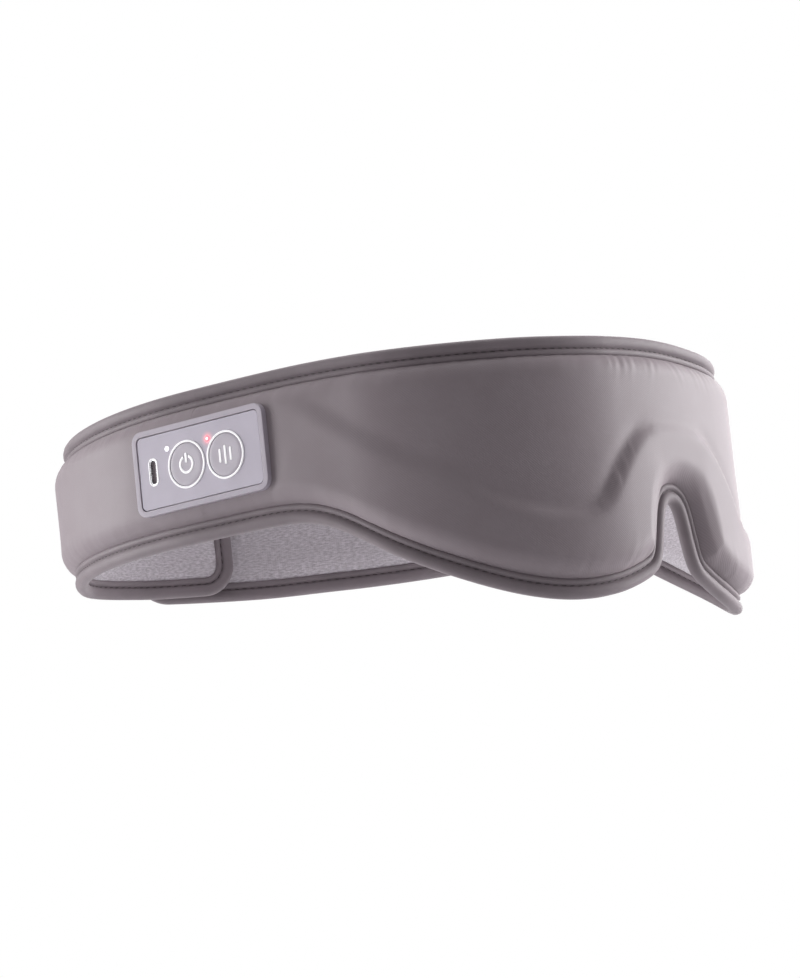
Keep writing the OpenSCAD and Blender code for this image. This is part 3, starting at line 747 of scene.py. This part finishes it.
def lens(name, x, y):
    piece = discPiece(name, x, y, 0.9, 1.0, box["face"], 32)
    pick(lambda f, c: f.normal.z > 0.9)
    for grow, lift in ((0.1, 0.09), (0.18, 0.08), (0.25, 0.05)):
        bpy.ops.mesh.inset(thickness=grow * mm)
        bpy.ops.transform.translate(value=(0, 0, lift * mm))
    bpy.ops.object.mode_set(mode="OBJECT")
    bpy.ops.object.shade_smooth_by_angle(angle=math.radians(50))
    return ontoBox(piece)


chargeLens, lampLens = lens("chargeLens", *keys["charge"]), lens("lampLens", *keys["lamp"])

print("cover: opening for the control box")
opening = slabPiece("opening", box["length"] - 0.5, box["height"] - 0.5, box["corner"] - 0.2, 0.5, 12)
ontoBox(opening)
cutAway(frontCover, opening)
pocket = slabPiece("pocket", box["length"] + 0.7, box["height"] + 0.7, box["corner"] + 0.3, -6.4, 12)
ontoBox(pocket)
cutAway(frontPad, pocket)
for name in pockets["motors"]:
    low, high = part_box(name)
    spot = (Vector(low) + Vector(high)) / 2
    runs = np.arange(0, 90, 0.5)
    line = bandPoint(np.copysign(runs, spot.x), 0, spot.z / mm)
    u = math.copysign(runs[np.argmin(np.linalg.norm(line - np.array(spot), axis=1))], spot.x)
    outward = Vector(bandPoint(u, 1, 0) - bandPoint(u, 0, 0)).normalized()
    hole = discPiece("motorHole", 0, 0, pockets["radius"], -6, 2.0, 48)
    bpy.ops.object.mode_set(mode="OBJECT")
    hole.data.transform(Matrix.Translation(spot) @ outward.to_track_quat("Z", "Y").to_matrix().to_4x4())
    cutAway(frontPad, hole)

print("materials")
# thread is painted shade: the stitches are coloured dark to stand for the shadow in their holes, the thread
# itself being the cover's colour
looks = dict(cover=(0.252, 0.213, 0.233), coverDark=(0.24, 0.20, 0.219), binding=(0.215, 0.18, 0.197),
             thread=(0.085, 0.066, 0.074), liningLight=(0.69, 0.64, 0.69), liningDark=(0.39, 0.35, 0.385),
             case=(0.30, 0.262, 0.30), frame=(0.395, 0.352, 0.412), plate=(0.46, 0.42, 0.50),
             cap=(0.45, 0.41, 0.47),
             white=(0.93, 0.92, 0.94), foam=(0.84, 0.80, 0.70), tape=(0.16, 0.125, 0.14))


def newMaterial(name, color, roughness, metallic=0.0):
    material = bpy.data.materials.new(name)
    material.use_nodes = True
    material.diffuse_color = (*color, 1)
    shader = material.node_tree.nodes["Principled BSDF"]
    shader.inputs["Base Color"].default_value = (*color, 1)
    shader.inputs["Roughness"].default_value = roughness
    shader.inputs["Metallic"].default_value = metallic
    return material, shader


def add(material, kind, **values):
    node = material.node_tree.nodes.new(kind)
    for key, value in values.items():
        if key in node.inputs:
            node.inputs[key].default_value = value
        else:
            setattr(node, key, value)
    return node


def wire(material, out, into):
    material.node_tree.links.new(out, into)


def noise(material, source, scale, detail=3.0, roughness=0.55):
    node = add(material, "ShaderNodeTexNoise", Scale=scale, Detail=detail, Roughness=roughness)
    wire(material, source, node.inputs["Vector"])
    return node.outputs["Fac"]


def wave(material, source, scale, direction="X", distortion=0.0):
    node = add(material, "ShaderNodeTexWave", Scale=scale, Distortion=distortion, bands_direction=direction)
    node.inputs["Detail"].default_value = 1.0
    wire(material, source, node.inputs["Vector"])
    return node.outputs["Fac"]


def stretchTo(material, source, scale):
    node = add(material, "ShaderNodeMapping")
    node.inputs["Scale"].default_value = scale
    wire(material, source, node.inputs["Vector"])
    return node.outputs["Vector"]


def blendColor(material, factor, a, b):
    node = add(material, "ShaderNodeMix", data_type="RGBA")
    wire(material, factor, node.inputs["Factor"])
    for name, value in (("A", a), ("B", b)):
        socket = [i for i in node.inputs if i.name == name and i.type == "RGBA"][0]
        if isinstance(value, tuple):
            socket.default_value = (*value, 1)
        else:
            wire(material, value, socket)
    return [o for o in node.outputs if o.type == "RGBA"][0]


def spread(material, value, low, high, outLow=0.0, outHigh=1.0):
    node = add(material, "ShaderNodeMapRange")
    wire(material, value, node.inputs["Value"])
    for name, number in (("From Min", low), ("From Max", high), ("To Min", outLow), ("To Max", outHigh)):
        node.inputs[name].default_value = number
    return node.outputs["Result"]


def bump(material, shader, layers):
    # layers of (height, distance in mm, strength), from the coarse one to the fine one
    last = None
    for height, distance, strength in layers:
        node = add(material, "ShaderNodeBump", Strength=strength, Distance=distance * mm)
        wire(material, height, node.inputs["Height"])
        if last:
            wire(material, last, node.inputs["Normal"])
        last = node.outputs["Normal"]
    wire(material, last, shader.inputs["Normal"])


def satinCloth(name, light, dark, roughness, sheen, twill=48.0, lineDepth=0.05):
    material, shader = newMaterial(name, light, roughness)
    place = add(material, "ShaderNodeTexCoord").outputs["UV"]
    lines = wave(material, place, twill * 1.42, "DIAGONAL", 0.6)
    fleckAndSparkle = noise(material, stretchTo(material, place, (260, 520, 1)), 1.0, 2.0)
    patch = noise(material, place, 7.0, 3.0)
    tone = blendColor(material, spread(material, patch, 0.35, 0.65), dark, light)
    thread = blendColor(material, spread(material, lines, 0.0, 1.0, 0.0, 0.07), tone,
                        tuple(c * 0.62 for c in dark))
    # the flecks lighten the colour: partly thread tone, partly a painted sparkle of glinting threads
    wire(material,
         blendColor(material, spread(material, fleckAndSparkle, 0.45, 0.75, 0.0, 0.12), thread,
                    tuple(c * 1.5 for c in light)),
         shader.inputs["Base Color"])
    wire(material, spread(material, fleckAndSparkle, 0.3, 0.7, roughness - 0.05, roughness + 0.08),
         shader.inputs["Roughness"])
    shader.inputs["Sheen Weight"].default_value = sheen
    shader.inputs["Sheen Roughness"].default_value = 0.4
    shader.inputs["Sheen Tint"].default_value = (1.0, 0.88, 0.94, 1)
    shader.inputs["Specular IOR Level"].default_value = 0.34
    bump(material, shader, [(patch, 0.1, 0.4), (lines, lineDepth, 0.45), (fleckAndSparkle, 0.05, 0.7)])
    return material


coverSatin = satinCloth("coverSatin", looks["cover"], looks["coverDark"], 0.5, 0.28)
bindingCloth = satinCloth("bindingCloth", looks["binding"], tuple(c * 0.86 for c in looks["binding"]), 0.55,
                          0.22, 62.0, 0.035)

liningJersey, shader = newMaterial("liningJersey", looks["liningLight"], 0.85)
place = add(liningJersey, "ShaderNodeTexCoord").outputs["UV"]
streak = noise(liningJersey, stretchTo(liningJersey, place, (55, 190, 1)), 1.0, 4.0, 0.62)
broad = noise(liningJersey, stretchTo(liningJersey, place, (2.4, 22, 1)), 1.0, 2.0)
rib = wave(liningJersey, place, 36.0, "X", 0.3)
course = wave(liningJersey, place, 44.0, "Y", 0.3)
tone = blendColor(liningJersey, spread(liningJersey, streak, 0.38, 0.64), looks["liningDark"],
                  looks["liningLight"])
tone = blendColor(liningJersey, spread(liningJersey, broad, 0.3, 0.7, 0.0, 0.35), tone, (0.46, 0.42, 0.455))
wire(liningJersey, tone, shader.inputs["Base Color"])
shader.inputs["Sheen Weight"].default_value = 0.35
shader.inputs["Sheen Roughness"].default_value = 0.5
bump(liningJersey, shader, [(broad, 0.3, 0.5), (rib, 0.06, 0.7), (course, 0.05, 0.6)])


def mouldedPlastic(name, color, roughness, coat=0.0, grain=0.02):
    material, shader = newMaterial(name, color, roughness)
    place = add(material, "ShaderNodeTexCoord").outputs["Object"]
    grit = noise(material, place, 5200.0, 2.0)
    cloud = noise(material, place, 90.0, 2.0)
    wire(material,
         blendColor(material, spread(material, cloud, 0.3, 0.7), tuple(c * 0.96 for c in color),
                    tuple(min(1, c * 1.03) for c in color)), shader.inputs["Base Color"])
    wire(material, spread(material, grit, 0.3, 0.7, roughness - 0.04, roughness + 0.05),
         shader.inputs["Roughness"])
    shader.inputs["Coat Weight"].default_value = coat
    shader.inputs["Coat Roughness"].default_value = 0.3
    bump(material, shader, [(grit, grain, 0.5)])
    return material


casePlastic = mouldedPlastic("casePlastic", looks["case"], 0.42)
framePlastic = mouldedPlastic("framePlastic", looks["frame"], 0.36, 0.15)
platePlastic = mouldedPlastic("platePlastic", looks["plate"], 0.4, 0.1)
keyPlastic = mouldedPlastic("keyPlastic", looks["cap"], 0.38, 0.1)
whitePrint = mouldedPlastic("whitePrint", looks["white"], 0.45)
printGlowShader = whitePrint.node_tree.nodes["Principled BSDF"]
printGlowShader.inputs["Emission Color"].default_value = (1.0, 1.0, 1.0, 1)
printGlowShader.inputs["Emission Strength"].default_value = 0.16   # painted glow: the white print emits a little light so it reads brighter than its shading
creamPlastic = mouldedPlastic("creamPlastic", (0.80, 0.77, 0.68), 0.4)
blackPlastic = mouldedPlastic("blackPlastic", (0.022, 0.022, 0.026), 0.4)


def plainMetal(name, color, roughness):
    material, shader = newMaterial(name, color, roughness, 1.0)
    place = add(material, "ShaderNodeTexCoord").outputs["Object"]
    brushed = noise(material, stretchTo(material, place, (300, 300, 1600)), 1.0, 2.0)
    wire(material, spread(material, brushed, 0.3, 0.7, roughness - 0.08, roughness + 0.1),
         shader.inputs["Roughness"])
    wire(material, blendColor(material, brushed, tuple(c * 0.9 for c in color), color),
         shader.inputs["Base Color"])
    bump(material, shader, [(brushed, 0.01, 0.4)])
    return material


platedSteel = plainMetal("platedSteel", (0.72, 0.73, 0.75), 0.26)
motorSteel = plainMetal("motorSteel", (0.60, 0.62, 0.65), 0.34)
cellFoil = plainMetal("cellFoil", (0.55, 0.58, 0.62), 0.42)

lampSpot = boxFrame @ Vector((keys["lamp"][0] * mm, keys["lamp"][1] * mm, 8.3 * mm))
# painted glow: the face plate itself emits red around the mode lamp, a painted pool of the lamp's light
glow = platePlastic.node_tree.nodes["Principled BSDF"]
near = add(platePlastic, "ShaderNodeVectorMath", operation="DISTANCE")
wire(platePlastic, add(platePlastic, "ShaderNodeTexCoord").outputs["Object"], near.inputs[0])
near.inputs[1].default_value = lampSpot
halo = add(platePlastic, "ShaderNodeMath", operation="POWER")
wire(platePlastic, spread(platePlastic, near.outputs["Value"], 0.0008, 0.0034, 1.0, 0.0), halo.inputs[0])
halo.inputs[1].default_value = 2.2
wire(platePlastic, spread(platePlastic, halo.outputs["Value"], 0.0, 1.0, 0.0, 0.7),
     glow.inputs["Emission Strength"])
glow.inputs["Emission Color"].default_value = (1.0, 0.12, 0.12, 1)

lampRed, shader = newMaterial("lampRed", (0.9, 0.05, 0.07), 0.3)
place = add(lampRed, "ShaderNodeTexCoord").outputs["Object"]
grain = noise(lampRed, place, 2600.0)
away = add(lampRed, "ShaderNodeVectorMath", operation="DISTANCE")
wire(lampRed, place, away.inputs[0])
away.inputs[1].default_value = lampSpot
wire(lampRed, blendColor(lampRed, spread(lampRed, away.outputs["Value"], 0.0001, 0.0008), (1.0, 0.55, 0.5),
                         (1.0, 0.04, 0.07)), shader.inputs["Emission Color"])
shader.inputs["Emission Strength"].default_value = 3.2
bump(lampRed, shader, [(grain, 0.01, 0.3)])

lampWhite, shader = newMaterial("lampWhite", (0.95, 0.95, 0.96), 0.35)
place = add(lampWhite, "ShaderNodeTexCoord").outputs["Object"]
frost = noise(lampWhite, place, 2600.0)
wire(lampWhite, blendColor(lampWhite, frost, (0.96, 0.97, 1.0), (1.0, 1.0, 1.0)),
     shader.inputs["Emission Color"])
shader.inputs["Emission Strength"].default_value = 0.95
bump(lampWhite, shader, [(frost, 0.01, 0.3)])

foamLook, shader = newMaterial("paddingFoam", looks["foam"], 0.95)
place = add(foamLook, "ShaderNodeTexCoord").outputs["Object"]
cells = add(foamLook, "ShaderNodeTexVoronoi", Scale=1400.0)
wire(foamLook, place, cells.inputs["Vector"])
wire(foamLook,
     blendColor(foamLook, cells.outputs["Distance"], tuple(c * 0.72 for c in looks["foam"]), looks["foam"]),
     shader.inputs["Base Color"])
bump(foamLook, shader, [(cells.outputs["Distance"], 0.3, 0.8)])

filmLook, shader = newMaterial("heatingFilm", (0.56, 0.30, 0.06), 0.28)
place = add(filmLook, "ShaderNodeTexCoord").outputs["Object"]
track = wave(filmLook, place, 110.0, "Z", 2.0)
wire(filmLook,
     blendColor(filmLook, spread(filmLook, track, 0.45, 0.55), (0.60, 0.30, 0.05), (0.78, 0.42, 0.18)),
     shader.inputs["Base Color"])
shader.inputs["Coat Weight"].default_value = 0.5
bump(filmLook, shader, [(track, 0.03, 0.6)])

boardLook, shader = newMaterial("circuitBoard", (0.02, 0.13, 0.06), 0.35)
place = add(boardLook, "ShaderNodeTexCoord").outputs["Object"]
tracks = add(boardLook, "ShaderNodeTexBrick", Scale=260.0)
wire(boardLook, place, tracks.inputs["Vector"])
wire(boardLook, blendColor(boardLook, tracks.outputs["Fac"], (0.015, 0.11, 0.05), (0.04, 0.22, 0.10)),
     shader.inputs["Base Color"])
bump(boardLook, shader, [(tracks.outputs["Fac"], 0.03, 0.6)])

# painted shade: the stitch dashes are dark to stand for the shadow in the stitch holes
stitchShadeLook, shader = newMaterial("stitchPaintedShade", looks["thread"], 0.6)
place = add(stitchShadeLook, "ShaderNodeTexCoord").outputs["Object"]
twist = wave(stitchShadeLook, place, 900.0, "DIAGONAL", 0.5)
wire(stitchShadeLook,
     blendColor(stitchShadeLook, twist, tuple(c * 0.7 for c in looks["thread"]),
                tuple(c * 1.25 for c in looks["thread"])), shader.inputs["Base Color"])
bump(stitchShadeLook, shader, [(twist, 0.05, 0.8)])


def tapeCloth(name, color, scale):
    material, shader = newMaterial(name, color, 0.9)
    place = add(material, "ShaderNodeTexCoord").outputs["UV"]
    tufts = add(material, "ShaderNodeTexVoronoi", Scale=scale)
    wire(material, place, tufts.inputs["Vector"])
    fuzz = noise(material, place, scale * 2.2, 4.0)
    wire(material,
         blendColor(material, tufts.outputs["Distance"], tuple(c * 0.6 for c in color),
                    tuple(c * 1.4 for c in color)), shader.inputs["Base Color"])
    shader.inputs["Sheen Weight"].default_value = 0.5
    bump(material, shader, [(tufts.outputs["Distance"], 0.5, 0.9), (fuzz, 0.25, 0.7)])
    return material


hookCloth = tapeCloth("hookTapeCloth", looks["tape"], 70.0)
loopCloth = tapeCloth("loopTapeCloth", tuple(c * 1.2 for c in looks["tape"]), 120.0)


def dress(piece, material):
    piece.data.materials.clear()
    piece.data.materials.append(material)
    for face in piece.data.polygons:
        face.material_index = 0


for piece in (frontCover, rightCover, leftCover):
    dress(finishCloth(piece), coverSatin)
for piece in (frontLining, rightLining, leftLining):
    dress(finishCloth(piece), liningJersey)
for piece in (topBinding, lowBinding, rightBinding, leftBinding):
    dress(finishCloth(piece), bindingCloth)
for piece in (frontStitches, rightStitches, leftStitches):
    dress(finishCloth(piece), stitchShadeLook)
for piece in (rightFilm, leftFilm):
    dress(finishCloth(piece), filmLook)
for piece in (frontPad, rightPad, leftPad):
    dress(finishCloth(piece), foamLook)
dress(finishCloth(hookTape), hookCloth)
dress(finishCloth(loopTape), loopCloth)
for piece, material, finish in ((boxFrameRim, framePlastic, "case_plastic"),
                                (facePlate, platePlastic, "case_plastic"),
                                (powerCap, keyPlastic, "case_plastic"), (modeCap, keyPlastic, "case_plastic"),
                                (powerRing, whitePrint, "white_plastic"),
                                (modeRing, whitePrint, "white_plastic"),
                                (portRim, whitePrint, "white_plastic"),
                                (powerMark, whitePrint, "white_plastic"),
                                (modeMark, whitePrint, "white_plastic"),
                                (chargeLens, lampWhite, "white_plastic"), (lampLens, lampRed, "red_light")):
    dress(piece, material)

innerLooks = dict(front_foam=foamLook, heating_film_right=filmLook, heating_film_left=filmLook,
                  bridge_cable=filmLook,
                  temple_cable=filmLook, temperature_sensor=blackPlastic, controller_base=casePlastic,
                  power_plunger=creamPlastic, mode_plunger=creamPlastic, charge_light_chip=creamPlastic,
                  mode_light_chip=creamPlastic, circuit_board=boardLook, board_screws=platedSteel,
                  power_switch=blackPlastic, mode_switch=blackPlastic, usb_c_shell=platedSteel,
                  usb_c_tongue=blackPlastic, battery_cell=cellFoil, control_chip=blackPlastic,
                  cable_plug=creamPlastic)
for name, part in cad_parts.items():
    material = innerLooks.get(name, motorSteel if name.startswith("motor") else casePlastic)
    part.data.materials.clear()
    part.data.materials.append(material)
    for face in part.data.polygons:
        face.material_index = 0

for piece in (frontCover, frontLining, frontPad, rightFilm, leftFilm, topBinding, lowBinding, frontStitches,
              boxFrameRim, facePlate, powerRing,
              modeRing, portRim, chargeLens, lampLens):
    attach(piece, "mask")
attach(powerCap, "power_key")
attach(powerMark, "power_key")
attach(modeCap, "mode_key")
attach(modeMark, "mode_key")
flex = dict(before=14.0, after=26.0)
for side, body, parts in ((-1, "right_strap",
                           (rightCover, rightLining, rightBinding, rightStitches, rightPad)),
                          (1, "left_strap", (leftCover, leftLining, leftBinding, leftStitches, leftPad))):
    start, end = bandPoint([side * (band["hingeAt"] - flex["before"]),
                            side * (band["hingeAt"] + flex["after"])], 0, 67)
    for piece in parts:
        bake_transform(piece)
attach(hookTape, "right_strap")
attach(loopTape, "left_strap")
for piece, names in ((frontCover, ["front_cover"]), (frontLining, ["front_lining"]),
                     (topBinding, ["front_top_binding"]),
                     (lowBinding, ["front_bottom_binding"]), (rightCover, ["right_strap_cover"]),
                     (rightLining, ["right_strap_lining"]), (rightBinding, ["right_strap_binding"]),
                     (frontPad, ["front_foam"]),
                     (rightFilm, ["heating_film_right"]), (leftFilm, ["heating_film_left"]),
                     (rightPad, ["right_strap_foam"]), (leftCover, ["left_strap_cover"]),
                     (leftLining, ["left_strap_lining"]), (leftBinding, ["left_strap_binding"]),
                     (leftPad, ["left_strap_foam"]), (hookTape, ["hook_tape"]), (loopTape, ["loop_tape"]),
                     (boxFrameRim, ["controller_bezel"]), (facePlate, ["face_plate"]),
                     (powerRing, ["power_ring"]),
                     (modeRing, ["mode_ring"]), (powerCap, ["power_button"]), (modeCap, ["mode_button"]),
                     (powerMark, ["power_mark"]), (modeMark, ["mode_mark"]), (chargeLens, ["charge_light"]),
                     (lampLens, ["mode_light"])):
    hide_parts(*names)

print("camera, light and floor")
view = dict(azimuth=-54.86, elevation=-9.11, roll=-6.20, distance=1645.7, yaw=-0.548, pitch=0.243,
            lens=170.68,
            targetX=0.9, targetY=92.6, targetZ=51.6)
az, el = math.radians(view["azimuth"]), math.radians(view["elevation"])
toCamera = Vector((math.sin(az) * math.cos(el), -math.cos(az) * math.cos(el), math.sin(el)))
target = Vector((view["targetX"], frontY + view["targetY"], view["targetZ"]))
ahead, right = -toCamera, Vector((math.cos(az), math.sin(az), 0))
above = right.cross(ahead)
t = math.radians(view["yaw"])
ahead = ahead * math.cos(t) + right * math.sin(t)
right = ahead.cross(above)
above = right.cross(ahead)
t = math.radians(view["pitch"])
ahead = ahead * math.cos(t) + above * math.sin(t)
above = right.cross(ahead)
t = math.radians(view["roll"])
right, above = right * math.cos(t) + above * math.sin(t), above * math.cos(t) - right * math.sin(t)
lensData = bpy.data.cameras.new("mainCamera")
lensData.lens = view["lens"]
lensData.sensor_width = 36
lensData.clip_start = 0.05
camera = bpy.data.objects.new("mainCamera", lensData)
bpy.context.scene.collection.objects.link(camera)
camera.matrix_world = Matrix.Translation((target + toCamera * view["distance"])
                                         * mm) @ Matrix((right, above, -ahead)).transposed().to_4x4()
bpy.context.scene.camera = camera

# softboxes: how far right, up and towards the camera from the middle, size and power
softboxes = dict(keyRight=(0.95, 0.2, -0.34, 0.75, 13.7), rimLeft=(-1.0, 0.12, -0.17, 0.8, 10.5),
                 topSoft=(0.0, 1.1, -0.2, 1.0, 6.4), behind=(0.3, 0.3, -1.1, 0.9, 7.0))
centre = Vector((0, 0, 0.05))
flatAhead = Vector((toCamera.x, toCamera.y, 0)).normalized()
flatRight = Vector((math.cos(az), math.sin(az), 0))
for name, (r, u, f, size, power) in softboxes.items():
    lamp = bpy.data.lights.new(name, "AREA")
    lamp.shape = "SQUARE"
    lamp.size = size
    lamp.energy = power
    holder = bpy.data.objects.new(name, lamp)
    bpy.context.scene.collection.objects.link(holder)
    spot = centre + flatRight * r + Vector((0, 0, u)) + flatAhead * f
    holder.location = spot
    holder.rotation_euler = (centre - spot).to_track_quat("-Z", "Y").to_euler()
    holder.visible_camera = False

world = bpy.data.worlds.new("softStudio")
bpy.context.scene.world = world
world.use_nodes = True
nodes, links = world.node_tree.nodes, world.node_tree.links
nodes.clear()
seen = nodes.new("ShaderNodeBackground")
seen.inputs["Color"].default_value = (1, 1, 1, 1)
seen.inputs["Strength"].default_value = 1.0
lit = nodes.new("ShaderNodeBackground")
lit.inputs["Color"].default_value = (1.0, 0.99, 1.0, 1)
lit.inputs["Strength"].default_value = 0.385
path = nodes.new("ShaderNodeLightPath")
choose = nodes.new("ShaderNodeMixShader")
output = nodes.new("ShaderNodeOutputWorld")
links.new(path.outputs["Is Camera Ray"], choose.inputs["Fac"])
links.new(lit.outputs["Background"], choose.inputs[1])
links.new(seen.outputs["Background"], choose.inputs[2])
links.new(choose.outputs["Shader"], output.inputs["Surface"])

floorLevel = -0.32
deselect()
bpy.ops.mesh.primitive_plane_add(size=8, location=(0, 0, floorLevel))
floor = named("studioFloor")
floorLook, shader = newMaterial("paleFloor", (0.6, 0.6, 0.61), 0.8)
place = add(floorLook, "ShaderNodeTexCoord").outputs["Object"]
cloud = noise(floorLook, place, 3.0)
wire(floorLook, blendColor(floorLook, cloud, (0.59, 0.59, 0.6), (0.62, 0.62, 0.63)),
     shader.inputs["Base Color"])
pale = add(floorLook, "ShaderNodeEmission", Color=(0.97, 0.97, 0.98, 1), Strength=1.05)
direct = add(floorLook, "ShaderNodeLightPath")
share = add(floorLook, "ShaderNodeMath", operation="MULTIPLY")
share.inputs[1].default_value = 0.9
wire(floorLook, direct.outputs["Is Camera Ray"], share.inputs[0])
both = add(floorLook, "ShaderNodeMixShader")
wire(floorLook, share.outputs["Value"], both.inputs["Fac"])
wire(floorLook, shader.outputs["BSDF"], both.inputs[1])
wire(floorLook, pale.outputs["Emission"], both.inputs[2])
wire(floorLook, both.outputs["Shader"], floorLook.node_tree.nodes["Material Output"].inputs["Surface"])
dress(floor, floorLook)
bpy.context.scene.view_settings.view_transform = "Standard"
